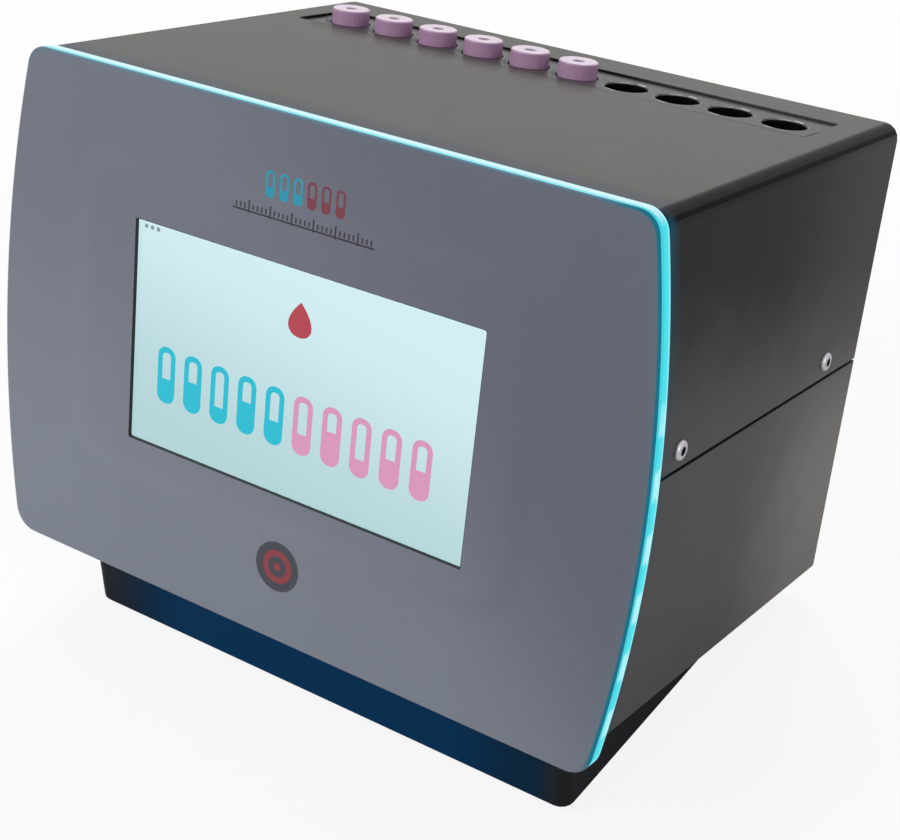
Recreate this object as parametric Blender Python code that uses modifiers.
# Bench-top analyzer that reads how fast blood cells settle in ten sample tubes.
# Its casing leans back on a level plinth. Casing pieces are laid out in the casing's own frame:
# X to the right, Y to the back, Z up, from the middle of the screen window on the fascia's face.
# The empty casing_frame then leans that frame back, and the plinth and its feet stay level.

import math

import bmesh
import bpy
from mathutils import Matrix, Vector

mm = 0.001

# Fits
seat_gap = 0.3 * mm  # between pieces that rest on or in each other
slide_gap = 0.1 * mm  # around a guide rod in its bush
beyond = 1 * mm  # how far a cutting tool runs past the face that it cuts
sink = 0.5 * mm  # how far a piece that is joined on starts inside its carrier
round_steps = 20
small_steps = 16
few_steps = 12

# Casing
casing_tilt = math.radians(12)
casing_side_gap = 6.5 * mm  # of its outside from the ends of the rack and the carriage
casing_height = 191.5 * mm
casing_length = 187.7 * mm
sheet = 1.5 * mm
top_bend = 6 * mm
floor_bend = 2.5 * mm
screen_height = 95.3 * mm  # middle of the screen window above the casing's underside
seam_height = 95.3 * mm  # parting line of the two shells above the casing's underside
seam_gap = 0.8 * mm

# Fascia, light guide and front frame, one behind the other
fascia_top = 97.2 * mm  # above the middle of the screen window
fascia_height = 199.9 * mm
fascia_overhang = 10.4 * mm  # beyond the casing's side, where its bowed sides are widest
fascia_side_radius = 515 * mm
fascia_widest = -12 * mm  # height of the widest place, from the middle of the window
fascia_top_corner = 8.5 * mm
fascia_bottom_corner = 10 * mm
fascia_thickness = 1.5 * mm
fascia_edge = 0.35 * mm
smallest_corner = 1 * mm
guide_thickness = 3.2 * mm
guide_band = 12 * mm
led_band = 7.5 * mm
led_thickness = 1.2 * mm
frame_thickness = 1.5 * mm
frame_inset = 0.6 * mm
frame_rim_depth = 6 * mm
frame_rim = 2 * mm

# Display
window_width = 154 * mm
window_height = 87.3 * mm
window_corner = 0.8 * mm
glass_border = 5.5 * mm
glass_thickness = 1.1 * mm
panel_thickness = 5.5 * mm
bracket_sheet = 1.5 * mm
bracket_ear = 16 * mm
bracket_band = 12 * mm
bracket_drop = 8 * mm  # the bracket ends this far inside the glass at its top and foot
bracket_corner = 3 * mm
ear_boss_radius = 4.5 * mm
panel_edge = 0.4 * mm
display_post_height = 3.2 * mm
display_board_height = 74 * mm
display_chip = (22 * mm, 22 * mm, 2.4 * mm)
display_chip_rise = 5 * mm
display_socket = (22 * mm, 8 * mm, 6 * mm)
display_socket_place = (-29 * mm, -26 * mm)
board_thickness = 1.6 * mm

# Sample tubes and their deck
tube_count = 10
tube_filled = 6
tube_pitch = 22.7 * mm
tube_radius = 6.5 * mm
tube_wall = 1 * mm
tube_length = 75 * mm
tube_row = 157 * mm  # distance of the row of holes behind the fascia's face
rim_above_deck = 1 * mm
cap_radius = 8 * mm
cap_length = 17 * mm
cap_above_rim = 5.2 * mm
cap_recess_radius = 3.3 * mm
cap_recess = 2.5 * mm
cap_edge = 0.8 * mm
cap_skirt_gap = 0.4 * mm
cap_plug_length = 8 * mm
hole_radius = 8.6 * mm
hole_chamfer = 0.5 * mm
collar_wall = 1.5 * mm
collar_length = 8 * mm
deck_end = 6.25 * mm  # flat left beyond the last hole
deck_length = 33 * mm
deck_recess = 1 * mm
deck_corner = 1.5 * mm
deck_flange = 3.5 * mm
deck_flange_border = 5 * mm
deck_flange_end = 10 * mm

# Tube rack
rack_thickness = 9 * mm
rack_seat_depth = 6 * mm
rack_seat_gap = 0.4 * mm
rod_margin = 6.5 * mm  # of the rack and the carriage beyond the middle of a rod
rack_length = 27 * mm
leg_sheet = 2 * mm
leg_width = 32 * mm
leg_foot = 11 * mm
leg_inset = 3.5 * mm  # of a leg's middle from its rod
motor_margin = 1 * mm  # of the rack around the motor's body

# Scanning drive
rod_radius = 3 * mm
rod_offset = 3.5 * mm  # of a rod beyond the end of the deck's strip
rod_socket = 4 * mm
bush_wall = 2 * mm
bush_flange = 2 * mm
bush_flange_thickness = 1.5 * mm
bush_below = 1 * mm  # how far a bush reaches below the carriage
carriage_thickness = 4 * mm
carriage_lift = 2.5 * mm  # lowest place of the carriage above the rack
carriage_slot = 10.2 * mm
carriage_rail = 6 * mm
carriage_corner = 2 * mm
carriage_margin = 1.5 * mm  # between a bush's flange and the long slot
sensor_board_height = 12 * mm
sensor_reach = 1.2 * mm
sensor_width = 5 * mm
sensor_height = 6 * mm
screw_place = 26 * mm  # distance of the lead screw in front of the row of tubes
screw_radius = 2.5 * mm
screw_chamfer = 0.3 * mm
journal_radius = 2 * mm
coupling_depth = 6 * mm  # how far the lead screw reaches into the motor
nut_radius = 5 * mm
nut_flange = 8 * mm
nut_length = 12 * mm
nut_flange_thickness = 2.5 * mm
nut_margin = 2 * mm
bearing_radius = 5 * mm
bearing_width = 3 * mm
boss_wall = 2 * mm
boss_margin = 2 * mm
motor_side = 35 * mm
motor_length = 30 * mm
motor_chamfer = 4 * mm
pilot_radius = 11 * mm
pilot_height = 2 * mm

# Side screws
screw_height = 7.9 * mm  # above the seam
screw_front = 38.9 * mm
screw_rear = 161 * mm
head_radius = 3.9 * mm
head_height = 2.2 * mm
head_land = 0.3 * mm
shank_radius = 2 * mm
shank_hole = 0.3 * mm
key_across = 2.5 * mm
key_depth = 1.3 * mm
shank_length = 6.5 * mm
tab_width = 24 * mm
tab_height = 16 * mm
tab_root = 9 * mm
weld_width = 16 * mm
weld_margin = 2 * mm

# Plinth and feet
plinth_inset = 16.8 * mm  # of its side from the casing's
plinth_front_height = 45.1 * mm
plinth_setback = 12.3 * mm
plinth_length = 158 * mm
plinth_corner = 5.5 * mm
plinth_wall = 2.5 * mm
foot_radius = 9 * mm
foot_height = 3 * mm
foot_inset = 20 * mm
foot_peg_radius = 3 * mm
foot_taper = 1 * mm

# Back panel
inlet_place = (82 * mm, -52 * mm)
inlet_width = 27 * mm
inlet_height = 20 * mm
inlet_depth = 22 * mm
inlet_flange_width = 48 * mm
inlet_flange_height = 24 * mm
inlet_flange_thickness = 3 * mm
inlet_mouth_width = 24.4 * mm
inlet_mouth_height = 16.4 * mm
inlet_mouth_depth = 17 * mm
inlet_pin_length = 11 * mm
inlet_pin_width = 2 * mm
inlet_pin_height = 4 * mm
inlet_pin_spread = 7 * mm
inlet_pin_rise = 2 * mm
inlet_corner = 4 * mm
inlet_notch = 4 * mm
inlet_ear_inset = 4.5 * mm
inlet_ear_hole = 1.8 * mm
switch_place = (36 * mm, -52 * mm)
switch_width = 15 * mm
switch_height = 24 * mm
switch_depth = 18 * mm
switch_bezel = 2.5 * mm
switch_bezel_thickness = 2 * mm
switch_corner = 1.5 * mm
rocker_width = 11 * mm
rocker_height = 17.6 * mm
rocker_throw = math.radians(10)
rocker_crown = 2.6 * mm
rocker_dip = 1.2 * mm
rocker_lip = 0.6 * mm  # edge of its end walls in front of the hinge
rocker_root = 5 * mm
rocker_root_length = 11.6 * mm
rocker_gap = 0.7 * mm
rocker_well = 3 * mm  # free depth behind the rocker's root
panel_gap = 0.4 * mm
port_proud = 0.8 * mm
port_depth = 17 * mm
usb_place = -30 * mm
usb_width = 14.5 * mm
usb_height = 7 * mm
usb_wall = 0.8 * mm
usb_tongue = 1.8 * mm
usb_tongue_inset = 1.5 * mm
usb_back_wall = 4 * mm
serial_place = -72 * mm
serial_width = 31 * mm
serial_height = 12.5 * mm
serial_shell_width = 18 * mm
serial_shell_height = 9.6 * mm
serial_draft = math.radians(10)
serial_shell_proud = 3 * mm
serial_pin_pitch = 2.7 * mm
serial_pin_radius = 0.55 * mm
serial_pin_depth = 3 * mm
slot_width = 3 * mm
slot_length = 26 * mm
slot_pitch = 8 * mm
slot_count = 8
slot_rise_upper = 42 * mm  # middle of the upper slots above the seam
slot_rise_lower = 30 * mm  # middle of the lower slots below the seam
slot_row_lower = -70 * mm

# Electronics on the casing floor
post_radius = 3 * mm
post_height = 8 * mm
post_inset = 6 * mm
port_strip = 16 * mm  # along the main board's back edge, kept for the ports
supply_edge = 0.8 * mm
capacitor_radius = 4.5 * mm
capacitor_height = 12 * mm
capacitor_row = 24 * mm  # from the board's right and back edges
capacitor_pitch = 12 * mm
main_board_side_gap = 20 * mm  # between its left edge and the side wall
main_board_gap = 5.3 * mm  # between its back edge and the back wall
main_board_size = (124 * mm, 116 * mm)
supply_front = 62 * mm
supply_side_gap = 24 * mm  # between its right side and the side wall
supply_size = (52 * mm, 98 * mm, 32 * mm)

# Places that follow from the sizes above, in the casing frame
casing_bottom = -screen_height
casing_top = casing_bottom + casing_height
seam = casing_bottom + seam_height
deck_width = (tube_count - 1) * tube_pitch + 2 * (hole_radius + deck_end)
rod_place = deck_width / 2 + rod_offset
rack_width = 2 * (rod_place + rod_margin)
leg_place = rod_place - leg_inset
half_width = rod_place + rod_margin + casing_side_gap
casing_width = 2 * half_width
fascia_half_width = half_width + fascia_overhang
plinth_half_width = half_width - plinth_inset
guide_front = fascia_thickness + seat_gap
guide_back = guide_front + guide_thickness
frame_front = guide_back + seat_gap
frame_back = frame_front + frame_thickness
casing_front = frame_back + seat_gap
casing_back = casing_front + casing_length
glass_front = fascia_thickness + seat_gap
panel_front = glass_front + glass_thickness + seat_gap
panel_back = panel_front + panel_thickness
bracket_front = panel_back + seat_gap
bracket_back = bracket_front + bracket_sheet
glass_width = window_width + 2 * glass_border
glass_height = window_height + 2 * glass_border
deck_floor = casing_top - deck_recess
flange_top = casing_top - sheet - seat_gap
flange_low = flange_top - deck_flange
collar_low = flange_low - collar_length
rod_ceiling = flange_low + boss_wall
tube_rim = deck_floor + rim_above_deck
tube_low = tube_rim - tube_length
cap_top = tube_rim + cap_above_rim
cap_low = cap_top - cap_length
rack_top = tube_low - seat_gap + rack_seat_depth
rack_low = rack_top - rack_thickness
carriage_low = rack_top + carriage_lift
carriage_top = carriage_low + carriage_thickness
screw_row = tube_row - screw_place
motor_top = rack_low - seat_gap
bearing_top = flange_top - boss_wall
floor_top = casing_bottom + sheet
main_board_under = floor_top + post_height + seat_gap
collar_radius = hole_radius + collar_wall
main_board_low = (
    -half_width + sheet + main_board_side_gap,
    casing_back - sheet - main_board_gap - main_board_size[1],
)
supply_low = (half_width - sheet - supply_side_gap - supply_size[0], supply_front)
tube_places = [(i - (tube_count - 1) / 2) * tube_pitch for i in range(tube_count)]
screw_hole = shank_radius + shank_hole
fascia_bottom = fascia_top - fascia_height
side_centre = fascia_half_width - fascia_side_radius


def srgb(red, green, blue):
    """A linear colour from eight-bit screen values."""
    def linear(value):
        part = value / 255
        return part / 12.92 if part <= 0.04045 else ((part + 0.055) / 1.055) ** 2.4

    return (linear(red), linear(green), linear(blue), 1)


finishes = {
    "fascia_grey": (srgb(112, 117, 130), 0.42, 0.0),
    "casing_grey": (srgb(84, 84, 82), 0.55, 0.2),
    "plinth_black": (srgb(40, 40, 44), 0.5, 0.0),
    "light_guide": (srgb(110, 225, 236), 0.2, 0.0),
    "black_plastic": (srgb(24, 24, 26), 0.45, 0.0),
    "deck_grey": (srgb(106, 102, 104), 0.5, 0.0),
    "cap_lilac": (srgb(178, 138, 172), 0.5, 0.0),
    "tube_glass": (srgb(226, 238, 236), 0.08, 0.0),
    "screen_glass": (srgb(14, 16, 18), 0.06, 0.0),
    "screen_panel": (srgb(202, 234, 238), 0.3, 0.0),
    "steel": (srgb(196, 192, 198), 0.28, 1.0),
    "aluminium": (srgb(186, 188, 190), 0.4, 1.0),
    "brass": (srgb(190, 158, 92), 0.35, 1.0),
    "board_green": (srgb(28, 92, 62), 0.5, 0.0),
    "rubber_black": (srgb(20, 20, 20), 0.85, 0.0),
}


def clear_scene():
    for item in list(bpy.data.objects):
        bpy.data.objects.remove(item, do_unlink=True)
    for item in list(bpy.data.collections):
        bpy.data.collections.remove(item)


def make_collection(name):
    made = bpy.data.collections.new(name)
    bpy.context.scene.collection.children.link(made)
    return made


def material(name):
    if name in bpy.data.materials:
        return bpy.data.materials[name]
    colour, roughness, metallic = finishes[name]
    made = bpy.data.materials.new(name)
    made.use_nodes = True
    shader = made.node_tree.nodes["Principled BSDF"]
    shader.inputs["Base Color"].default_value = colour
    shader.inputs["Roughness"].default_value = roughness
    shader.inputs["Metallic"].default_value = metallic
    made.diffuse_color = colour
    return made


clear_scene()
parts = make_collection("sedimentation_rate_analyzer")
cutters = make_collection("cutters")
stand = bpy.data.objects.new("stand_frame", None)
parts.objects.link(stand)
casing = bpy.data.objects.new("casing_frame", None)
parts.objects.link(casing)
casing.parent = stand
casing.rotation_euler.x = -casing_tilt


def place(name, mesh, finish, at=(0, 0, 0), turn=(0, 0, 0), parent=casing):
    """A piece with its own finish, or a helper that only cuts or joins where finish is None."""
    made = bpy.data.objects.new(name, mesh)
    made.parent = parent
    made.location = at
    made.rotation_euler = turn
    if finish is None:
        cutters.objects.link(made)
        made.hide_render = True
        made.display_type = "WIRE"
    else:
        parts.objects.link(made)
        mesh.materials.append(material(finish))
    return made


def from_bmesh(name, bm):
    mesh = bpy.data.meshes.new(name)
    bm.to_mesh(mesh)
    bm.free()
    return mesh


def block(name, low, high, finish=None, parent=casing):
    """A box from its lowest to its highest corner."""
    low, high = Vector(low), Vector(high)
    bm = bmesh.new()
    bmesh.ops.create_cube(bm, size=1)
    bmesh.ops.scale(bm, vec=high - low, verts=bm.verts)
    return place(name, from_bmesh(name, bm), finish, (low + high) / 2, parent=parent)


def rod(name, radius, low, high, finish=None, steps=round_steps, turn=(0, 0, 0), parent=casing):
    """A cylinder of two end points that lie on one axis, turned to it by turn."""
    low, high = Vector(low), Vector(high)
    bm = bmesh.new()
    bmesh.ops.create_cone(
        bm, cap_ends=True, segments=steps, radius1=radius, radius2=radius, depth=(high - low).length
    )
    return place(name, from_bmesh(name, bm), finish, (low + high) / 2, turn, parent)


def turned(name, profile, at, finish=None, steps=round_steps, turn=(0, 0, 0), closed=False, parent=casing):
    """A profile of (radius, height) turned about the height axis; it runs down its outer side."""
    mesh = bpy.data.meshes.new(name)
    edges = [(i, i + 1) for i in range(len(profile) - 1)]
    if closed:
        edges.append((len(profile) - 1, 0))
    mesh.from_pydata([(radius, 0, height) for radius, height in profile], edges, [])
    made = place(name, mesh, finish, at, turn, parent)
    screw = made.modifiers.new("turn", "SCREW")
    screw.steps = steps
    screw.render_steps = steps
    screw.use_merge_vertices = True
    screw.merge_threshold = 0.00001
    screw.use_smooth_shade = True
    return made


def flat(name, outlines, thickness, at, finish=None, turn=(0, 0, 0), parent=casing):
    """Closed outlines filled and given a thickness, centred on its own XY plane. Inner outlines are holes."""
    curve = bpy.data.curves.new(name, "CURVE")
    curve.dimensions = "2D"
    curve.fill_mode = "BOTH"
    curve.extrude = thickness / 2
    for outline in outlines:
        spline = curve.splines.new("POLY")
        spline.points.add(len(outline) - 1)
        for point, (x, y) in zip(spline.points, outline):
            point.co = (x, y, 0, 1)
        spline.use_cyclic_u = True
    helper = bpy.data.objects.new(name + "_curve", curve)
    cutters.objects.link(helper)
    graph = bpy.context.evaluated_depsgraph_get()
    mesh = bpy.data.meshes.new_from_object(helper.evaluated_get(graph))
    bpy.data.objects.remove(helper, do_unlink=True)
    bm = bmesh.new()
    bm.from_mesh(mesh)
    bmesh.ops.remove_doubles(bm, verts=bm.verts, dist=0.000005)
    bmesh.ops.recalc_face_normals(bm, faces=bm.faces)
    bm.to_mesh(mesh)
    bm.free()
    mesh.name = name
    return place(name, mesh, finish, at, turn, parent)


def front_plate(name, outlines, front, back, finish=None):
    """A plate parallel to the fascia, between two distances behind its face."""
    return flat(name, outlines, back - front, (0, (front + back) / 2, 0), finish, (math.pi / 2, 0, 0))


def level_plate(name, outlines, low, high, finish=None):
    """A plate parallel to the casing's floor."""
    return flat(name, outlines, high - low, (0, 0, (low + high) / 2), finish)


def cut(target, *tools):
    for tool in tools:
        step = target.modifiers.new("cut_" + tool.name, "BOOLEAN")
        step.operation = "DIFFERENCE"
        step.solver = "EXACT"
        step.object = tool
    return target


def cut_all(target, name, tools):
    """Cuts a whole pattern at once; its tools don't touch each other."""
    group = bpy.data.collections.new(name)
    cutters.children.link(group)
    for tool in tools:
        group.objects.link(tool)
        cutters.objects.unlink(tool)
    step = target.modifiers.new(name, "BOOLEAN")
    step.operation = "DIFFERENCE"
    step.solver = "EXACT"
    step.operand_type = "COLLECTION"
    step.collection = group
    return target


def join(target, *pieces):
    for piece in pieces:
        step = target.modifiers.new("join_" + piece.name, "BOOLEAN")
        step.operation = "UNION"
        step.solver = "EXACT"
        step.object = piece
    return target


def soften(target, width, segments=1, degrees=50):
    step = target.modifiers.new("soften", "BEVEL")
    step.width = width
    step.segments = segments
    step.limit_method = "ANGLE"
    step.angle_limit = math.radians(degrees)
    return target


def arc(centre, radius, start, end, steps):
    """Points of an arc from one angle to another, both in radians, ends included."""
    angles = [start + (end - start) * i / steps for i in range(steps + 1)]
    return [(centre[0] + radius * math.cos(a), centre[1] + radius * math.sin(a)) for a in angles]


def circle(centre, radius, steps=round_steps):
    return arc(centre, radius, 0, 2 * math.pi * (steps - 1) / steps, steps - 1)


def slot(x, y, width, length, steps=4):
    """An upright slot with round ends about its middle."""
    radius = width / 2
    rise = length / 2 - radius
    upper = arc((x, y + rise), radius, 0, math.pi, steps)
    return upper + arc((x, y - rise), radius, math.pi, 2 * math.pi, steps)


def rounded(low, high, radius, steps=4):
    """A rectangle with round corners, anticlockwise from its lower right corner."""
    quarter = math.pi / 2
    corners = ((high[0], low[1], -1), (high[0], high[1], 0), (low[0], high[1], 1), (low[0], low[1], 2))
    points = []
    for x, y, turn in corners:
        centre = (x - radius if x == high[0] else x + radius, y - radius if y == high[1] else y + radius)
        points += arc(centre, radius, turn * quarter, (turn + 1) * quarter, steps)
    return points


def barrel(inset, side_steps=10, corner_steps=4):
    """The fascia's outline, moved in by inset: level top and bottom, and sides bowed on one radius."""
    radius = fascia_side_radius - inset
    half = []
    for corner, level, upper in (
        (fascia_bottom_corner, fascia_bottom + inset, False),
        (fascia_top_corner, fascia_top - inset, True),
    ):
        fillet = max(corner - inset, smallest_corner)
        height = level - fillet if upper else level + fillet
        rise = height - fascia_widest
        across = side_centre + math.sqrt((radius - fillet) ** 2 - rise**2)
        slope = math.atan2(rise, across - side_centre)
        half.append((fillet, (across, height), slope))
    (low_fillet, low_centre, low_slope), (top_fillet, top_centre, top_slope) = half
    right = arc(low_centre, low_fillet, -math.pi / 2, low_slope, corner_steps)
    right += arc((side_centre, fascia_widest), radius, low_slope, top_slope, side_steps)[1:-1]
    right += arc(top_centre, top_fillet, top_slope, math.pi / 2, corner_steps)
    return right + [(-x, z) for x, z in reversed(right)]


def shell_outline(inset, low, high, low_bend, high_bend, steps=4):
    """The casing's cross-section between two heights, with its bends."""
    side = half_width - inset
    points = []
    for sign_x, level, bend, start in (
        (1, low, low_bend, -1),
        (1, high, high_bend, 0),
        (-1, high, high_bend, 1),
        (-1, low, low_bend, 2),
    ):
        x = sign_x * side
        if bend == 0:
            points.append((x, level))
            continue
        centre = (x - sign_x * bend, level + bend if start in (-1, 2) else level - bend)
        points += arc(centre, bend, start * math.pi / 2, (start + 1) * math.pi / 2, steps)
    return points


def fascia_and_light():
    window = rounded(
        (-window_width / 2, -window_height / 2), (window_width / 2, window_height / 2), window_corner, 2
    )
    fascia = front_plate("fascia", [barrel(0), window], 0, fascia_thickness, "fascia_grey")
    soften(fascia, fascia_edge)
    front_plate("light_guide", [barrel(0), barrel(guide_band)], guide_front, guide_back, "light_guide")
    led_outer = guide_band + seat_gap
    front_plate(
        "led_ring",
        [barrel(led_outer, 6, 2), barrel(led_outer + led_band, 6, 2)],
        guide_back - led_thickness,
        guide_back,
        "board_green",
    )


def front_frame():
    """The moulded plate that closes the casing's front, with the rim that sits inside the shells."""
    opening = rounded(
        (-glass_width / 2 - seat_gap, -glass_height / 2 - seat_gap),
        (glass_width / 2 + seat_gap, glass_height / 2 + seat_gap),
        window_corner,
        2,
    )
    # At the top the frame stays level with the casing, a little below the light guide.
    outlines = [barrel(frame_inset), opening]
    plate = front_plate("front_frame", outlines, frame_front, frame_back, "black_plastic")
    trim = block(
        "frame_trim",
        (-casing_width, 0, casing_top),
        (casing_width, casing_front, casing_top + fascia_top_corner),
    )
    cut(plate, trim)
    inset = sheet + seat_gap
    low, high = casing_bottom + inset, casing_top - inset
    outer = shell_outline(inset, low, high, floor_bend, top_bend - inset)
    inner = shell_outline(inset + frame_rim, low + frame_rim, high - frame_rim, floor_bend, top_bend - inset)
    overlap = frame_thickness / 2
    rim = front_plate("frame_rim", [outer, inner], frame_back - overlap, frame_back + frame_rim_depth)
    join(plate, rim)
    # Bosses carry the display bracket by its ears.
    x, z = glass_width / 2 + bracket_ear / 2, glass_height / 2 - bracket_drop - bracket_ear / 2
    lying = (math.pi / 2, 0, 0)
    for side in (-1, 1):
        for level in (-1, 1):
            low = (side * x, frame_back - overlap, level * z)
            high = (side * x, bracket_front - seat_gap, level * z)
            name = f"bracket_boss_{side}_{level}"
            join(plate, rod(name, ear_boss_radius, low, high, steps=few_steps, turn=lying))


def display():
    half_w, half_h = glass_width / 2, glass_height / 2
    glass_back = glass_front + glass_thickness
    block("touch_glass", (-half_w, glass_front, -half_h), (half_w, glass_back, half_h), "screen_glass")
    low, high = (-half_w, panel_front, -half_h), (half_w, panel_back, half_h)
    panel = block("display_panel", low, high, "screen_panel")
    soften(panel, panel_edge)
    reach, high = half_w + bracket_ear, half_h - bracket_drop
    outer = rounded((-reach, -high), (reach, high), bracket_corner, 2)
    inner_w, inner_h = half_w - bracket_band, high - bracket_band
    inner = rounded((-inner_w, -inner_h), (inner_w, inner_h), bracket_corner, 2)
    bracket = front_plate("display_bracket", [outer, inner], bracket_front, bracket_back, "aluminium")
    # Posts behind the bracket carry the controller board.
    board_front = bracket_back + display_post_height + seat_gap
    post_x = half_w - bracket_band / 2
    post_z = display_board_height / 2 - post_inset
    for sx in (-1, 1):
        for sz in (-1, 1):
            post = rod(
                f"display_post_{sx}_{sz}",
                post_radius,
                (sx * post_x, bracket_back - bracket_sheet / 2, sz * post_z),
                (sx * post_x, bracket_back + display_post_height, sz * post_z),
                steps=few_steps,
                turn=(math.pi / 2, 0, 0),
            )
            join(bracket, post)
    half_bw, half_bh = post_x + post_radius, display_board_height / 2
    board = block(
        "display_board",
        (-half_bw, board_front, -half_bh),
        (half_bw, board_front + board_thickness, half_bh),
        "board_green",
    )
    back = board_front + board_thickness
    for name, (width, height, proud), (x, z) in (
        ("display_chip", display_chip, (0, display_chip_rise)),
        ("display_socket", display_socket, display_socket_place),
    ):
        low = (x - width / 2, back - sink, z - height / 2)
        high = (x + width / 2, back + proud, z + height / 2)
        join(board, block(name, low, high))


def screw_points():
    """Side, its sign and distance to the back of each side screw, with the name of its place."""
    for side, sign in (("left", -1), ("right", 1)):
        for end, distance in (("front", screw_front), ("rear", screw_rear)):
            yield f"{side}_{end}", sign, distance


def lower_housing():
    top = seam - seam_gap / 2
    outer = shell_outline(0, casing_bottom, top, floor_bend, 0)
    shell = front_plate("lower_housing", [outer], casing_front, casing_back, "casing_grey")
    hollow = shell_outline(sheet, floor_top, top + sheet, floor_bend - sheet, 0)
    cut(shell, front_plate("lower_hollow", [hollow], casing_front - sheet, casing_back - sheet))
    # Tabs welded inside the walls stand up behind the upper shell and take the side screws.
    wall_inner = half_width - sheet
    for name, sign, distance in screw_points():
        left, right = sorted((sign * (wall_inner - seat_gap - sheet), sign * (wall_inner - seat_gap)))
        tab = block(
            f"tab_{name}",
            (left, distance - tab_width / 2, seam - tab_root),
            (right, distance + tab_width / 2, seam + tab_height),
        )
        left, right = sorted((sign * (wall_inner - seat_gap - sheet / 2), sign * (wall_inner + sheet / 2)))
        weld = block(
            f"tab_weld_{name}",
            (left, distance - weld_width / 2, seam - tab_root),
            (right, distance + weld_width / 2, top - weld_margin),
        )
        join(shell, weld, tab)
        cut(shell, screw_bore(f"tab_bore_{name}", sign, distance))
    for i, (x, y) in enumerate(board_posts()):
        low, high = (x, y, floor_top - sheet / 2), (x, y, floor_top + post_height)
        join(shell, rod(f"board_post_{i}", post_radius, low, high, steps=few_steps))
    back_low, back_high = casing_back - 2 * sheet, casing_back + sheet
    tools = [
        panel_opening("inlet_opening", inlet_place, inlet_width, inlet_height, back_low, back_high),
        panel_opening("switch_opening", switch_place, switch_width, switch_height, back_low, back_high),
        panel_opening(
            "usb_opening",
            (usb_place, port_middle(usb_height)),
            usb_width,
            usb_height,
            back_low,
            back_high,
        ),
        panel_opening(
            "serial_opening",
            (serial_place, port_middle(serial_height)),
            serial_shell_width,
            serial_shell_height,
            back_low,
            back_high,
        ),
    ]
    tools += vent_slots("lower_slot", slot_row_lower, seam - slot_rise_lower)
    cut_all(shell, "lower_back_openings", tools)


def board_posts():
    low_x, low_y = main_board_low
    size_x, size_y = main_board_size
    for x in (low_x + post_inset, low_x + size_x - post_inset):
        for y in (low_y + post_inset, low_y + size_y - post_inset - port_strip):
            yield x, y


def screw_bore(name, sign, distance):
    inside = half_width - shank_length - 2 * sheet
    return rod(
        name,
        screw_hole,
        (sign * inside, distance, seam + screw_height),
        (sign * (half_width + sheet), distance, seam + screw_height),
        steps=small_steps,
        turn=(0, math.pi / 2, 0),
    )


def port_middle(height):
    """Height of the middle of a port that stands on the main board."""
    return main_board_under + board_thickness + seat_gap + height / 2


def panel_opening(name, place_xz, width, height, back_low, back_high):
    half_w, half_h = width / 2 + panel_gap, height / 2 + panel_gap
    return block(
        name,
        (place_xz[0] - half_w, back_low, place_xz[1] - half_h),
        (place_xz[0] + half_w, back_high, place_xz[1] + half_h),
    )


def vent_slots(name, middle_x, middle_z):
    """A row of upright slots with round ends through the back wall."""
    tools = []
    for i in range(slot_count):
        x = middle_x + (i - (slot_count - 1) / 2) * slot_pitch
        outline = slot(x, middle_z, slot_width, slot_length)
        tools.append(front_plate(f"{name}_{i}", [outline], casing_back - 2 * sheet, casing_back + sheet))
    return tools


def upper_housing():
    low = seam + seam_gap / 2
    outer = shell_outline(0, low, casing_top, 0, top_bend)
    shell = front_plate("upper_housing", [outer], casing_front, casing_back, "casing_grey")
    hollow = shell_outline(sheet, low - sheet, casing_top - sheet, 0, top_bend - sheet)
    cut(shell, front_plate("upper_hollow", [hollow], casing_front - sheet, casing_back - sheet))
    window = rounded(
        (-deck_width / 2, tube_row - deck_length / 2),
        (deck_width / 2, tube_row + deck_length / 2),
        deck_corner,
        3,
    )
    cut(shell, level_plate("deck_window", [window], casing_top - 2 * sheet, casing_top + sheet))
    for name, sign, distance in screw_points():
        cut(shell, screw_bore(f"wall_bore_{name}", sign, distance))
    middle = slot_row_lower
    tools = vent_slots("upper_slot_left", middle, seam + slot_rise_upper)
    tools += vent_slots("upper_slot_right", -middle, seam + slot_rise_upper)
    cut_all(shell, "upper_back_openings", tools)


def side_screws():
    """Button-head screws with a six-sided socket, through the upper shell into the lower shell's tabs."""
    crown = [
        (head_radius * math.cos(a), head_height * math.sin(a))
        for a in [math.radians(d) for d in (75, 50, 25)]
    ]
    profile = [(0, head_height), *crown, (head_radius, head_land), (head_radius, 0)]
    profile += [(shank_radius, 0), (shank_radius, -shank_length), (0, -shank_length)]
    for name, sign, distance in screw_points():
        at = (sign * (half_width + seat_gap), distance, seam + screw_height)
        screw = turned(f"side_screw_{name}", profile, at, "steel", small_steps, (0, sign * math.pi / 2, 0))
        key = rod(
            f"key_{name}",
            key_across / math.sqrt(3),
            (at[0] + sign * (head_height - key_depth), distance, at[2]),
            (at[0] + sign * (head_height + key_depth), distance, at[2]),
            steps=6,
            turn=(0, math.pi / 2, 0),
        )
        cut(screw, key)


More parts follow.
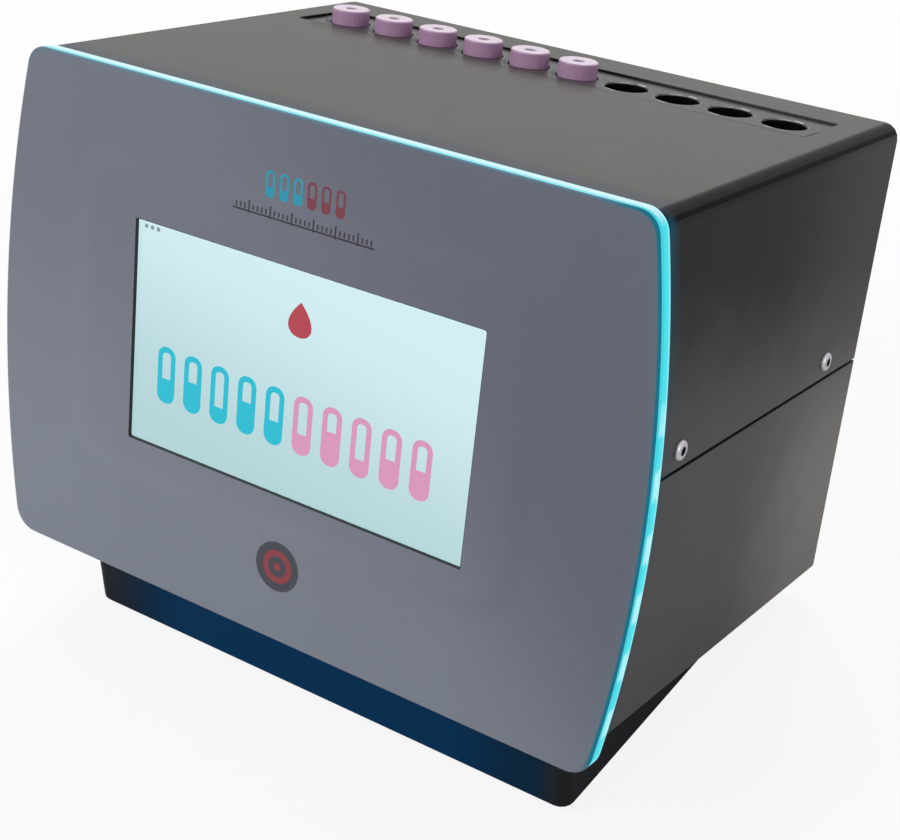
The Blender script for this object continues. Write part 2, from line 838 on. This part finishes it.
def tube_deck():
    """The moulded strip in the casing's top, with collars round its holes and bosses for rods and screw."""
    half_l, half_w = deck_length / 2, deck_width / 2
    pad = rounded(
        (-half_w + seat_gap, tube_row - half_l + seat_gap),
        (half_w - seat_gap, tube_row + half_l - seat_gap),
        deck_corner - seat_gap,
        3,
    )
    deck = level_plate("tube_deck", [pad], flange_top - deck_flange / 2, deck_floor, "deck_grey")
    border = half_l + deck_flange_border
    tongue = bearing_radius + boss_wall + boss_margin
    front, back = tube_row - border, tube_row + border
    reach = screw_row - tongue
    half_f = half_w + deck_flange_end
    flange = [
        (half_f, front),
        (half_f, back),
        (-half_f, back),
        (-half_f, front),
        (-tongue, front),
        (-tongue, reach),
        (tongue, reach),
        (tongue, front),
    ]
    join(deck, level_plate("deck_flange", [flange], flange_low, flange_top))
    for i, x in enumerate(tube_places):
        low, high = collar_low, flange_top - deck_flange / 2
        collar = rod(f"collar_{i}", collar_radius, (x, tube_row, low), (x, tube_row, high), steps=small_steps)
        join(deck, collar)
    for side in (-1, 1):
        x = side * rod_place
        boss = rod(
            f"rod_boss_{side}",
            rod_radius + seat_gap + boss_wall,
            (x, tube_row, rod_ceiling - rod_socket),
            (x, tube_row, rod_ceiling),
            steps=small_steps,
        )
        join(deck, boss)
    screw_boss = rod(
        "screw_boss",
        bearing_radius + seat_gap + boss_wall,
        (0, screw_row, bearing_top - bearing_width - seat_gap),
        (0, screw_row, bearing_top),
        steps=small_steps,
    )
    join(deck, screw_boss)
    holes = []
    for i, x in enumerate(tube_places):
        profile = [
            (0, deck_floor + beyond),
            (hole_radius + hole_chamfer + beyond, deck_floor + beyond),
            (hole_radius, deck_floor - hole_chamfer),
            (hole_radius, collar_low - beyond),
            (0, collar_low - beyond),
        ]
        holes.append(turned(f"tube_hole_{i}", profile, (x, tube_row, 0), steps=small_steps))
    for side in (-1, 1):
        low = (side * rod_place, tube_row, rod_ceiling - rod_socket - beyond)
        high = (side * rod_place, tube_row, rod_ceiling)
        holes.append(rod(f"rod_socket_{side}", rod_radius + seat_gap, low, high, steps=small_steps))
    low = (0, screw_row, bearing_top - bearing_width - seat_gap - beyond)
    high = (0, screw_row, bearing_top)
    holes.append(rod("bearing_pocket", bearing_radius + seat_gap, low, high, steps=small_steps))
    cut_all(deck, "deck_holes", holes)


def tube_rack():
    """The plate that the tubes stand in, with the motor's mount in front, on two folded legs."""
    half_r, half_l = rack_width / 2, rack_length / 2
    mount = motor_side / 2 + motor_margin
    outline = [
        (half_r, tube_row - half_l),
        (half_r, tube_row + half_l),
        (-half_r, tube_row + half_l),
        (-half_r, tube_row - half_l),
        (-mount, tube_row - half_l),
        (-mount, screw_row - mount),
        (mount, screw_row - mount),
        (mount, tube_row - half_l),
    ]
    rack = level_plate("rack_base", [outline], rack_low, rack_top, "black_plastic")
    seat_floor = rack_top - rack_seat_depth
    above = rack_top + beyond
    seats = []
    for i, x in enumerate(tube_places):
        low, high = (x, tube_row, seat_floor), (x, tube_row, above)
        seats.append(rod(f"tube_seat_{i}", tube_radius + rack_seat_gap, low, high, steps=few_steps))
    for side in (-1, 1):
        low, high = (side * rod_place, tube_row, rack_top - rod_socket), (side * rod_place, tube_row, above)
        seats.append(rod(f"rod_seat_{side}", rod_radius + seat_gap, low, high, steps=small_steps))
    low, high = (0, screw_row, rack_low - beyond), (0, screw_row, above)
    seats.append(rod("pilot_hole", pilot_radius + seat_gap, low, high))
    cut_all(rack, "rack_seats", seats)
    high, low = rack_low - seat_gap, floor_top + seat_gap
    for name, sign in (("left", -1), ("right", 1)):
        x = leg_place - leg_sheet / 2
        web = x + leg_sheet
        profile = [
            (x - leg_foot, high - leg_sheet),
            (x, high - leg_sheet),
            (x, low),
            (web + leg_foot, low),
            (web + leg_foot, low + leg_sheet),
            (web, low + leg_sheet),
            (web, high),
            (x - leg_foot, high),
        ]
        outline = [(sign * px, pz) for px, pz in profile]
        front, back = tube_row - leg_width / 2, tube_row + leg_width / 2
        front_plate(f"rack_leg_{name}", [outline], front, back, "aluminium")


def tubes_and_caps():
    bowl = [math.radians(d) for d in (-30, -60)]
    inner, outer = tube_radius - tube_wall, tube_radius
    centre = tube_low + tube_radius
    tube_profile = [(0, tube_low + tube_wall)]
    tube_profile += [(inner * math.cos(a), centre + inner * math.sin(a)) for a in reversed(bowl)]
    tube_profile += [(inner, centre), (inner, tube_rim), (outer, tube_rim), (outer, centre)]
    tube_profile += [(outer * math.cos(a), centre + outer * math.sin(a)) for a in bowl]
    tube_profile += [(0, tube_low)]
    skirt_inner = tube_radius + cap_skirt_gap
    plug = inner - seat_gap
    lid = tube_rim + seat_gap
    cap_profile = [
        (0, cap_top - cap_recess),
        (cap_recess_radius, cap_top - cap_recess),
        (cap_recess_radius, cap_top),
        (cap_radius - cap_edge, cap_top),
        (cap_radius, cap_top - cap_edge),
        (cap_radius, cap_low),
        (skirt_inner, cap_low),
        (skirt_inner, lid),
        (plug, lid),
        (plug, lid - cap_plug_length),
        (0, lid - cap_plug_length),
    ]
    for i in range(tube_filled):
        at = (tube_places[i], tube_row, 0)
        turned(f"sample_tube_{i + 1}", tube_profile, at, "tube_glass", small_steps)
        turned(f"tube_cap_{i + 1}", cap_profile, at, "cap_lilac", small_steps)


def guide_rods():
    low, high = rack_top - rod_socket + seat_gap, rod_ceiling - seat_gap
    for name, sign in (("left", -1), ("right", 1)):
        x = sign * rod_place
        rod(f"guide_rod_{name}", rod_radius, (x, tube_row, low), (x, tube_row, high), "steel", small_steps)


def scan_carriage():
    """The plate that carries the light barriers up and down beside the tubes, on bushes and a nut."""
    half_y = carriage_slot + carriage_rail
    nut_pad = nut_flange + nut_margin
    end = rod_place + rod_margin
    outline = [
        (end, tube_row - half_y),
        (end, tube_row + half_y),
        (-end, tube_row + half_y),
        (-end, tube_row - half_y),
        (-nut_pad, tube_row - half_y),
        (-nut_pad, screw_row - nut_pad),
        (nut_pad, screw_row - nut_pad),
        (nut_pad, tube_row - half_y),
    ]
    slot_end = rod_place - rod_radius - bush_wall - bush_flange - carriage_margin
    low, high = (-slot_end, tube_row - carriage_slot), (slot_end, tube_row + carriage_slot)
    window = rounded(low, high, carriage_corner, 2)
    bush_outer = rod_radius + slide_gap + bush_wall
    rod_places = [(-rod_place, tube_row), (rod_place, tube_row)]
    bush_holes = [circle(at, bush_outer + seat_gap, small_steps) for at in rod_places]
    nut_hole = circle((0, screw_row), nut_radius + seat_gap)
    openings = [window, *bush_holes, nut_hole]
    level_plate("scan_carriage", [outline, *openings], carriage_low, carriage_top, "aluminium")
    # Bushes and nut stand with their flanges on the plate; the nut's barrel dips into the pilot hole.
    flange_low_z = carriage_top + seat_gap
    for name, at in zip(("left", "right"), rod_places):
        inner = rod_radius + slide_gap
        profile = [
            (bush_outer + bush_flange, flange_low_z + bush_flange_thickness),
            (bush_outer + bush_flange, flange_low_z),
            (bush_outer, flange_low_z),
            (bush_outer, carriage_low - bush_below),
            (inner, carriage_low - bush_below),
            (inner, flange_low_z + bush_flange_thickness),
        ]
        turned(f"guide_bush_{name}", profile, (*at, 0), "brass", small_steps, closed=True)
    nut_inner = screw_radius + seat_gap
    nut_top = flange_low_z + nut_flange_thickness
    nut_profile = [
        (nut_flange, nut_top),
        (nut_flange, flange_low_z),
        (nut_radius, flange_low_z),
        (nut_radius, nut_top - nut_length),
        (nut_inner, nut_top - nut_length),
        (nut_inner, nut_top),
    ]
    turned("lead_nut", nut_profile, (0, screw_row, 0), "brass", closed=True)
    for name, sign in (("emitter", -1), ("detector", 1)):
        face = carriage_slot
        near, far = sorted((sign * face, sign * (face + board_thickness)))
        low = carriage_top + seat_gap
        board = block(
            f"{name}_board",
            (-slot_end, tube_row + near, low),
            (slot_end, tube_row + far, low + sensor_board_height),
            "board_green",
        )
        middle = low + sensor_board_height / 2
        for i, x in enumerate(tube_places):
            inner, outer = sorted((sign * (face - sensor_reach), sign * (face + board_thickness / 2)))
            sensor = block(
                f"{name}_{i}",
                (x - sensor_width / 2, tube_row + inner, middle - sensor_height / 2),
                (x + sensor_width / 2, tube_row + outer, middle + sensor_height / 2),
            )
            join(board, sensor)


def drive():
    pilot_top = motor_top + pilot_height
    body_low = motor_top - motor_length
    half, corner = motor_side / 2, motor_chamfer
    outline = [
        (half - corner, screw_row - half),
        (half, screw_row - half + corner),
        (half, screw_row + half - corner),
        (half - corner, screw_row + half),
        (corner - half, screw_row + half),
        (-half, screw_row + half - corner),
        (-half, screw_row - half + corner),
        (corner - half, screw_row - half),
    ]
    motor = level_plate("scan_motor", [outline], body_low, motor_top, "black_plastic")
    pilot = rod("motor_pilot", pilot_radius, (0, screw_row, motor_top - sink), (0, screw_row, pilot_top))
    join(motor, pilot)
    bore_low = motor_top - coupling_depth
    low, high = (0, screw_row, bore_low), (0, screw_row, pilot_top + beyond)
    cut(motor, rod("motor_bore", screw_radius + seat_gap, low, high))
    screw_low = bore_low + seat_gap
    shoulder = bearing_top - bearing_width - seat_gap
    profile = [
        (0, bearing_top - seat_gap),
        (journal_radius, bearing_top - seat_gap),
        (journal_radius, shoulder - seat_gap),
        (screw_radius, shoulder - seat_gap - screw_chamfer),
        (screw_radius, screw_low),
        (0, screw_low),
    ]
    turned("lead_screw", profile, (0, screw_row, 0), "steel")
    ring = [
        (bearing_radius, bearing_top - seat_gap),
        (bearing_radius, bearing_top - seat_gap - bearing_width),
        (journal_radius + slide_gap, bearing_top - seat_gap - bearing_width),
        (journal_radius + slide_gap, bearing_top - seat_gap),
    ]
    turned("screw_bearing", ring, (0, screw_row, 0), "steel", small_steps, closed=True)


def electronics():
    low_x, low_y = main_board_low
    size_x, size_y = main_board_size
    under, over = main_board_under, main_board_under + board_thickness
    board = block("main_board", (low_x, low_y, under), (low_x + size_x, low_y + size_y, over), "board_green")
    right, back = low_x + size_x, low_y + size_y
    middle = low_x + size_x / 2
    # Middle of each part on the board, with its width, its length and its height above the board.
    items = {
        "processor": (middle, low_y + 56 * mm, 24 * mm, 24 * mm, 2.2 * mm),
        "motor_driver": (right - 26 * mm, low_y + 36 * mm, 12 * mm, 12 * mm, 2 * mm),
        "supply_socket": (right - 13 * mm, back - 44 * mm, 10 * mm, 24 * mm, 11 * mm),
        "sensor_socket": (low_x + 16 * mm, back - 33 * mm, 8 * mm, 34 * mm, 9 * mm),
        "display_cable_socket": (middle - 10 * mm, low_y + 11.5 * mm, 44 * mm, 7 * mm, 8 * mm),
    }
    for name, (x, y, width, length, height) in items.items():
        low = (x - width / 2, y - length / 2, over - sink)
        high = (x + width / 2, y + length / 2, over + height)
        join(board, block(name, low, high))
    for i in range(2):
        at = (right - capacitor_row - i * capacitor_pitch, back - capacitor_row)
        low, high = (*at, over - sink), (*at, over + capacitor_height)
        join(board, rod(f"capacitor_{i}", capacitor_radius, low, high, steps=small_steps))
    base = floor_top + seat_gap
    low = (*supply_low, base)
    high = tuple(a + b for a, b in zip(low, supply_size))
    supply = block("power_supply", low, high, "aluminium")
    soften(supply, supply_edge)


def inlet():
    """Three-pin appliance inlet with a screw flange outside the back wall."""
    x, z = inlet_place
    face = casing_back + seat_gap + inlet_flange_thickness
    half_w, half_h = inlet_flange_width / 2, inlet_flange_height / 2
    flange_outline = rounded((x - half_w, z - half_h), (x + half_w, z + half_h), inlet_corner)
    ears = [circle((x + side * (half_w - inlet_ear_inset), z), inlet_ear_hole, few_steps) for side in (-1, 1)]
    body = front_plate("power_inlet", [flange_outline, *ears], casing_back + seat_gap, face, "black_plastic")
    barrel_half_w, barrel_half_h = inlet_width / 2, inlet_height / 2
    core = block(
        "inlet_core",
        (x - barrel_half_w, face - inlet_depth, z - barrel_half_h),
        (x + barrel_half_w, face - inlet_flange_thickness / 2, z + barrel_half_h),
    )
    join(body, core)
    mouth_w, mouth_h = inlet_mouth_width / 2, inlet_mouth_height / 2
    mouth = [
        (x + mouth_w, z - mouth_h),
        (x + mouth_w, z + mouth_h - inlet_notch),
        (x + mouth_w - inlet_notch, z + mouth_h),
        (x - mouth_w + inlet_notch, z + mouth_h),
        (x - mouth_w, z + mouth_h - inlet_notch),
        (x - mouth_w, z - mouth_h),
    ]
    floor = face - inlet_mouth_depth
    cut(body, front_plate("inlet_mouth", [mouth], floor, face + beyond))
    for i in (-1, 0, 1):
        dx, dz = i * inlet_pin_spread, inlet_pin_rise * (1 - 2 * abs(i))
        pin = block(
            f"inlet_pin_{i}",
            (x + dx - inlet_pin_width / 2, floor - sink, z + dz - inlet_pin_height / 2),
            (x + dx + inlet_pin_width / 2, floor + inlet_pin_length, z + dz + inlet_pin_height / 2),
        )
        join(body, pin)


def power_switch():
    """Rocker switch beside the inlet; the rocker rests tipped to one side of its hinge."""
    x, z = switch_place
    face = casing_back + seat_gap + switch_bezel_thickness
    half_w, half_h = switch_width / 2, switch_height / 2
    bezel = rounded(
        (x - half_w - switch_bezel, z - half_h - switch_bezel),
        (x + half_w + switch_bezel, z + half_h + switch_bezel),
        switch_corner,
        3,
    )
    body = front_plate("switch_body", [bezel], casing_back + seat_gap, face, "black_plastic")
    core = block(
        "switch_core",
        (x - half_w, face - switch_depth, z - half_h),
        (x + half_w, face - switch_bezel_thickness / 2, z + half_h),
    )
    join(body, core)
    well_w, well_h = rocker_width / 2 + rocker_gap, rocker_height / 2 + rocker_gap
    well = block(
        "switch_well",
        (x - well_w, face - rocker_root - rocker_well, z - well_h),
        (x + well_w, face + beyond, z + well_h),
    )
    cut(body, well)
    half_r = rocker_height / 2
    # The profile is drawn in the rocker's own frame: across its length, and outward from its hinge.
    root = rocker_root_length / 2
    profile = [(-half_r, rocker_lip), (-root, -rocker_root), (root, -rocker_root), (half_r, rocker_lip)]
    profile += [(half_r * t, rocker_dip + (rocker_crown - rocker_dip) * t * t) for t in (1, 0.5, 0, -0.5, -1)]
    upright = Matrix(((0, 0, 1), (1, 0, 0), (0, 1, 0)))
    flat(
        "switch_rocker",
        [[(out, along) for along, out in profile]],
        rocker_width,
        (x, face, z),
        "black_plastic",
        (Matrix.Rotation(rocker_throw, 3, "X") @ upright).to_euler(),
    )


def ports():
    """Data ports that stand on the main board's back edge and reach through the back wall."""
    face = casing_back + port_proud
    base = main_board_under + board_thickness + seat_gap
    half = usb_width / 2
    top = base + usb_height
    low, high = (usb_place - half, face - port_depth, base), (usb_place + half, face, top)
    usb = block("usb_port", low, high, "steel")
    floor = face - port_depth + usb_back_wall
    hollow = block(
        "usb_hollow",
        (usb_place - half + usb_wall, floor, base + usb_wall),
        (usb_place + half - usb_wall, face + beyond, top - usb_wall),
    )
    cut(usb, hollow)
    tongue = block(
        "usb_tongue",
        (usb_place - half + 2 * usb_wall, floor - sink, top - 2 * usb_wall - usb_tongue),
        (usb_place + half - 2 * usb_wall, face - usb_tongue_inset, top - 2 * usb_wall),
    )
    join(usb, tongue)
    middle = base + serial_height / 2
    half = serial_width / 2
    wall_inside = casing_back - sheet - seat_gap
    serial = block(
        "serial_port",
        (serial_place - half, face - port_depth, base),
        (serial_place + half, wall_inside, base + serial_height),
        "steel",
    )
    half_w, half_h = serial_shell_width / 2, serial_shell_height / 2
    lean = serial_shell_height * math.tan(serial_draft)
    shell = [
        (serial_place - half_w + lean, middle - half_h),
        (serial_place + half_w - lean, middle - half_h),
        (serial_place + half_w, middle + half_h),
        (serial_place - half_w, middle + half_h),
    ]
    shell_face = face + serial_shell_proud
    join(serial, front_plate("serial_shell", [shell], wall_inside - sink, shell_face))
    sockets = []
    for row, count in ((1, 5), (-1, 4)):
        for i in range(count):
            x = serial_place + (i - (count - 1) / 2) * serial_pin_pitch
            z = middle + row * serial_pin_pitch / 2
            sockets.append(
                rod(
                    f"serial_socket_{row}_{i}",
                    serial_pin_radius,
                    (x, shell_face - serial_pin_depth, z),
                    (x, shell_face + beyond, z),
                    steps=6,
                    turn=(math.pi / 2, 0, 0),
                )
            )
    cut_all(serial, "serial_sockets", sockets)


def plinth_and_feet():
    """The level base: a tray whose walls run up to the leaning casing."""
    cos_t, sin_t = math.cos(casing_tilt), math.sin(casing_tilt)
    front_in_casing = casing_front + plinth_setback
    under = casing_bottom - seat_gap
    bottom = foot_height + seat_gap
    # The casing frame is lifted so that the plinth's front has its height.
    casing.location.z = bottom + plinth_front_height + front_in_casing * sin_t - under * cos_t
    front = front_in_casing * cos_t + under * sin_t
    back = front + plinth_length * cos_t
    half = plinth_half_width
    top = bottom + plinth_front_height + plinth_wall
    outline = rounded((-half, front), (half, back), plinth_corner)
    middle = (bottom + top) / 2
    plinth = flat("base_plinth", [outline], top - bottom, (0, 0, middle), "plinth_black", parent=stand)
    wall = plinth_wall
    inner = rounded((-half + wall, front + wall), (half - wall, back - wall), plinth_corner - wall)
    tray = flat("plinth_hollow", [inner], top - bottom, (0, 0, middle + wall), parent=stand)
    reach = casing_length
    lid = block(
        "plinth_lid",
        (-casing_width, -reach, under),
        (casing_width, casing_back + reach, under + casing_height),
    )
    cut(plinth, tray, lid)
    pegs = []
    profile = [
        (0, bottom + wall - seat_gap),
        (foot_peg_radius, bottom + wall - seat_gap),
        (foot_peg_radius, foot_height),
        (foot_radius, foot_height),
        (foot_radius - foot_taper, 0),
        (0, 0),
    ]
    for side, x in (("left", -half + foot_inset), ("right", half - foot_inset)):
        for end, y in (("front", front + foot_inset), ("rear", back - foot_inset)):
            turned(f"foot_{end}_{side}", profile, (x, y, 0), "rubber_black", small_steps, parent=stand)
            pegs.append(
                rod(
                    f"peg_hole_{end}_{side}",
                    foot_peg_radius + seat_gap,
                    (x, y, bottom - beyond),
                    (x, y, bottom + wall + beyond),
                    steps=small_steps,
                    parent=stand,
                )
            )
    cut_all(plinth, "peg_holes", pegs)


def stand_on_origin():
    """Moves the whole model so that the origin lies under the middle of its outer box."""
    bpy.context.view_layer.update()
    graph = bpy.context.evaluated_depsgraph_get()
    low, high = Vector((1e9,) * 3), Vector((-1e9,) * 3)
    for item in parts.objects:
        if item.type != "MESH":
            continue
        evaluated = item.evaluated_get(graph)
        mesh = evaluated.to_mesh()
        for vertex in mesh.vertices:
            point = evaluated.matrix_world @ vertex.co
            low = Vector(map(min, low, point))
            high = Vector(map(max, high, point))
        evaluated.to_mesh_clear()
    stand.location = (-(low.x + high.x) / 2, -(low.y + high.y) / 2, -low.z)
    bpy.context.view_layer.update()


def main():
    fascia_and_light()
    front_frame()
    display()
    lower_housing()
    upper_housing()
    side_screws()
    tube_deck()
    tube_rack()
    tubes_and_caps()
    guide_rods()
    scan_carriage()
    drive()
    electronics()
    inlet()
    power_switch()
    ports()
    plinth_and_feet()
    stand_on_origin()


main()
